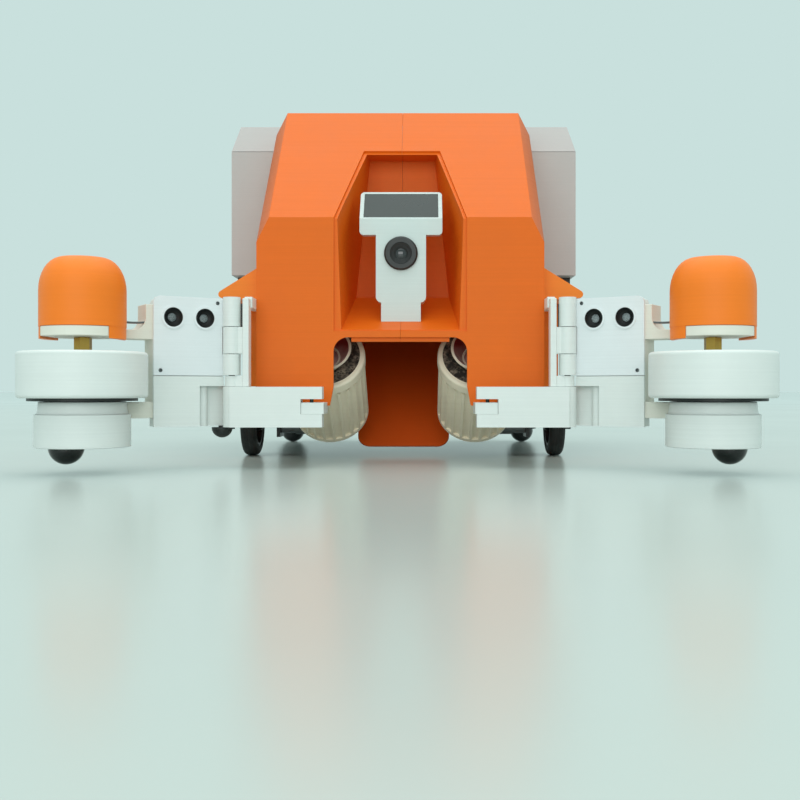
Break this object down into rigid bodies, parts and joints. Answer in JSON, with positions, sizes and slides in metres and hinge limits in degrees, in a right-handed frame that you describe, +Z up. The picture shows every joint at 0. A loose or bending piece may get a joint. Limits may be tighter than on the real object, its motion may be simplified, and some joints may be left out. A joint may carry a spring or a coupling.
{
  "type": "two wheel robot car",
  "caption": "Ball-collecting robot car on drive wheels: nose with camera and ball mouth, fluted intake drums, hinged sensor arms with sweeping discs, hopper behind.",
  "frame": {"origin": "on the floor under the middle of the car's bounding box", "axes": "+Z up, -Y forward (the mouth side), +X to the right as seen from the front"},
  "size_m": [0.5668, 0.5526, 0.326],
  "materials": {
    "orange_plastic": "layered print, satin",
    "ramp_plastic": "layered print, satin",
    "white_plastic": "layered print, satin",
    "grey_plastic": "layered print, satin",
    "beige_plastic": "layered print, satin",
    "black_plastic": "satin",
    "plate_composite": "satin",
    "window": "gloss",
    "lens": "coated",
    "motor_metal": "brushed",
    "sensor_metal": "satin, dark mesh centre",
    "pin_steel": "dark",
    "screw_steel": "satin",
    "brass": "satin",
    "tyre_rubber": "matte",
    "grip_rubber": "textured",
    "ball_plastic": "polished",
    "battery_wrap": "shrink wrap",
    "circuit_board": "solder mask",
    "switch_red": "gloss",
    "lead_insulation": "gloss"
  },
  "bodies": {
    "chassis": {"shell_left": "orange_plastic", "shell_right": "orange_plastic", "shoulder_wings": "orange_plastic", "chassis_plate": "plate_composite", "ball_ramp": "ramp_plastic", "hopper_floor": "grey_plastic", "rear_body": "grey_plastic", "camera_post": "white_plastic", "display_window": "window", "camera_module": "black_plastic", "camera_lens": "lens", "hinge_brackets": "white_plastic", "hinge_pins": "pin_steel", "bumper_bars": "white_plastic", "bar_links": "white_plastic", "drive_motors": "motor_metal", "drum_motors": "motor_metal", "motor_brackets": "black_plastic", "caster_housings": "black_plastic", "battery_pack": "battery_wrap", "control_board": "circuit_board", "switch_socket": "black_plastic", "assembly_screws": "screw_steel"},
    "lid": {"hopper_lid": "grey_plastic"},
    "switch": {"power_switch": "switch_red"},
    "wheel_left": {"tyre_left": "tyre_rubber", "wheel_hub_left": "black_plastic"},
    "drum_left": {"drum_left": "beige_plastic", "grip_ring_left": "grip_rubber"},
    "arm_left": {"sensor_box_left": "white_plastic", "sensor_panel_left": "white_plastic", "sensor_cans_left": "sensor_metal", "arm_yoke_left": "white_plastic", "lower_cup_left": "white_plastic", "dome_cap_left": "orange_plastic", "disc_motor_left": "motor_metal", "motor_leads_left": "lead_insulation", "arm_foot_left": "black_plastic"},
    "disc_left": {"disc_left": "white_plastic", "disc_plate_left": "black_plastic", "coupler_left": "brass"},
    "tip_ball_left": {"tip_ball_left": "ball_plastic"},
    "caster_ball_left": {"caster_ball_left": "ball_plastic"},
    "wheel_right": {"tyre_right": "tyre_rubber", "wheel_hub_right": "black_plastic"},
    "drum_right": {"drum_right": "beige_plastic", "grip_ring_right": "grip_rubber"},
    "arm_right": {"sensor_box_right": "white_plastic", "sensor_panel_right": "white_plastic", "sensor_cans_right": "sensor_metal", "arm_yoke_right": "white_plastic", "lower_cup_right": "white_plastic", "dome_cap_right": "orange_plastic", "disc_motor_right": "motor_metal", "motor_leads_right": "lead_insulation"},
    "disc_right": {"disc_right": "white_plastic", "disc_plate_right": "black_plastic", "coupler_right": "brass"},
    "tip_ball_right": {"tip_ball_right": "ball_plastic"},
    "caster_ball_right": {"caster_ball_right": "ball_plastic"}
  },
  "joints": [
    {"name": "wheel_left_spin", "type": "hinge", "parent": "chassis", "child": "wheel_left", "pos_m": [-0.146, -0.009, 0.0325], "axis": [1, 0, 0], "continuous": true},
    {"name": "drum_left_spin", "type": "hinge", "parent": "chassis", "child": "drum_left", "pos_m": [-0.067, -0.0344, 0.0431], "axis": [0, -0.8221, 0.5693], "continuous": true},
    {"name": "arm_left_swing", "type": "hinge", "parent": "chassis", "child": "arm_left", "pos_m": [-0.136, -0.169, 0.1], "axis": [0, 0, 1], "range_deg": [-40, 65]},
    {"name": "disc_left_spin", "type": "hinge", "parent": "arm_left", "child": "disc_left", "pos_m": [-0.23617, -0.22911, 0.075], "axis": [0, 0, 1], "continuous": true},
    {"name": "tip_ball_left_roll", "type": "hinge", "parent": "arm_left", "child": "tip_ball_left", "pos_m": [-0.24866, -0.22911, 0.0204], "axis": [1, 0, 0], "continuous": true},
    {"name": "caster_ball_left_roll", "type": "hinge", "parent": "chassis", "child": "caster_ball_left", "pos_m": [-0.14, 0.247, 0.0139], "axis": [1, 0, 0], "continuous": true},
    {"name": "wheel_right_spin", "type": "hinge", "parent": "chassis", "child": "wheel_right", "pos_m": [0.146, -0.009, 0.0325], "axis": [1, 0, 0], "continuous": true},
    {"name": "drum_right_spin", "type": "hinge", "parent": "chassis", "child": "drum_right", "pos_m": [0.067, -0.0344, 0.0431], "axis": [0, -0.8221, 0.5693], "continuous": true},
    {"name": "arm_right_swing", "type": "hinge", "parent": "chassis", "child": "arm_right", "pos_m": [0.136, -0.169, 0.1], "axis": [0, 0, -1], "range_deg": [-40, 65]},
    {"name": "disc_right_spin", "type": "hinge", "parent": "arm_right", "child": "disc_right", "pos_m": [0.23617, -0.22911, 0.075], "axis": [0, 0, 1], "continuous": true},
    {"name": "tip_ball_right_roll", "type": "hinge", "parent": "arm_right", "child": "tip_ball_right", "pos_m": [0.24866, -0.22911, 0.0204], "axis": [1, 0, 0], "continuous": true},
    {"name": "caster_ball_right_roll", "type": "hinge", "parent": "chassis", "child": "caster_ball_right", "pos_m": [0.14, 0.247, 0.0139], "axis": [1, 0, 0], "continuous": true},
    {"name": "lid_swing", "type": "hinge", "parent": "chassis", "child": "lid", "pos_m": [0, 0.2723, 0.298], "axis": [-1, 0, 0], "range_deg": [0, 100]},
    {"name": "power_switch_rock", "type": "hinge", "parent": "chassis", "child": "switch", "pos_m": [-0.09, 0.2633, 0.077], "axis": [1, 0, 0], "range_deg": [-8, 8]}
  ]
}
